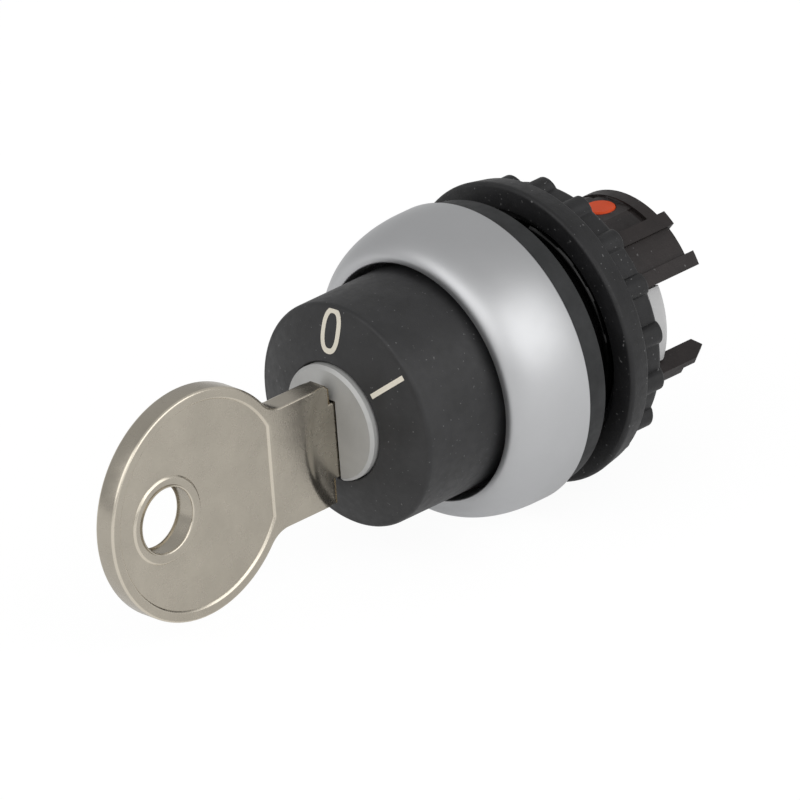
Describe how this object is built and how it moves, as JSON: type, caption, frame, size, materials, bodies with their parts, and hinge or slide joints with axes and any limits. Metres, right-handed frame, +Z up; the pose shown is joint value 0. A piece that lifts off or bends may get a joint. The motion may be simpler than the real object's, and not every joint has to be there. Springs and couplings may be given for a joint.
{
  "type": "key operated selector switch actuator",
  "caption": "Panel selector actuator with a removable key, a marked round collar, a metal front ring, a ring nut behind the panel and a rear frame with a sliding tappet.",
  "frame": {"origin": "on the switch axis, in the plane where the panel seal meets the front of the panel", "axes": "+Y along the switch axis into the panel (the key points to -Y), +Z up with the key in its 0 position, +X to the right for someone facing the panel"},
  "size_m": [0.0298, 0.0686, 0.0298],
  "materials": {
    "ring_silver": "satin, finely blasted",
    "collar_black": "matte, fine grain",
    "seal_rubber": "matte",
    "sleeve_black": "glossy",
    "nut_charcoal": "matte, grained",
    "frame_brown": "matte",
    "pin_orange": "satin",
    "plug_satin": "satin",
    "barrel_zinc": "as cast",
    "wafer_brass": "stamped",
    "spring_steel": "bright",
    "key_nickel": "nickel plated, lightly scratched",
    "rotor_grey": "moulded",
    "tappet_white": "moulded"
  },
  "bodies": {
    "housing": {"front_ring": "ring_silver", "panel_seal": "seal_rubber", "key_collar": "collar_black", "collar_seal": "seal_rubber", "housing_sleeve": "sleeve_black", "lock_barrel": "barrel_zinc", "barrel_seal": "seal_rubber", "bayonet_frame": "frame_brown", "coding_pin": "pin_orange", "index_balls": "spring_steel", "index_springs": "spring_steel", "tappet_spring": "spring_steel"},
    "plug": {"lock_plug": "plug_satin", "wafer_springs": "spring_steel", "retaining_clip": "spring_steel", "drive_tail": "spring_steel", "cam_rotor": "rotor_grey", "wafer_1": "wafer_brass", "wafer_2": "wafer_brass", "wafer_3": "wafer_brass", "wafer_4": "wafer_brass", "wafer_5": "wafer_brass", "wafer_6": "wafer_brass"},
    "key": {"key": "key_nickel"},
    "tappet": {"tappet": "tappet_white"},
    "nut": {"lock_nut": "nut_charcoal"}
  },
  "joints": [
    {"name": "key_turn", "type": "hinge", "parent": "housing", "child": "plug", "pos_m": [0, 0, 0], "axis": [0, 1, 0], "range_deg": [0, 60]},
    {"name": "key_slide", "type": "slide", "parent": "plug", "child": "key", "axis": [0, -1, 0], "range_m": [0, 0.025]},
    {"name": "tappet_slide", "type": "slide", "parent": "housing", "child": "tappet", "axis": [0, 1, 0], "range_m": [0, 0.004], "deforming": ["tappet_spring"]},
    {"name": "nut_travel", "type": "slide", "parent": "housing", "child": "nut", "axis": [0, 1, 0], "range_m": [-0.00175, 0.00325]}
  ],
  "couplings": [
    {"joint": "tappet_slide", "follows": "key_turn", "m_per_rad": 0.0038197}
  ]
}
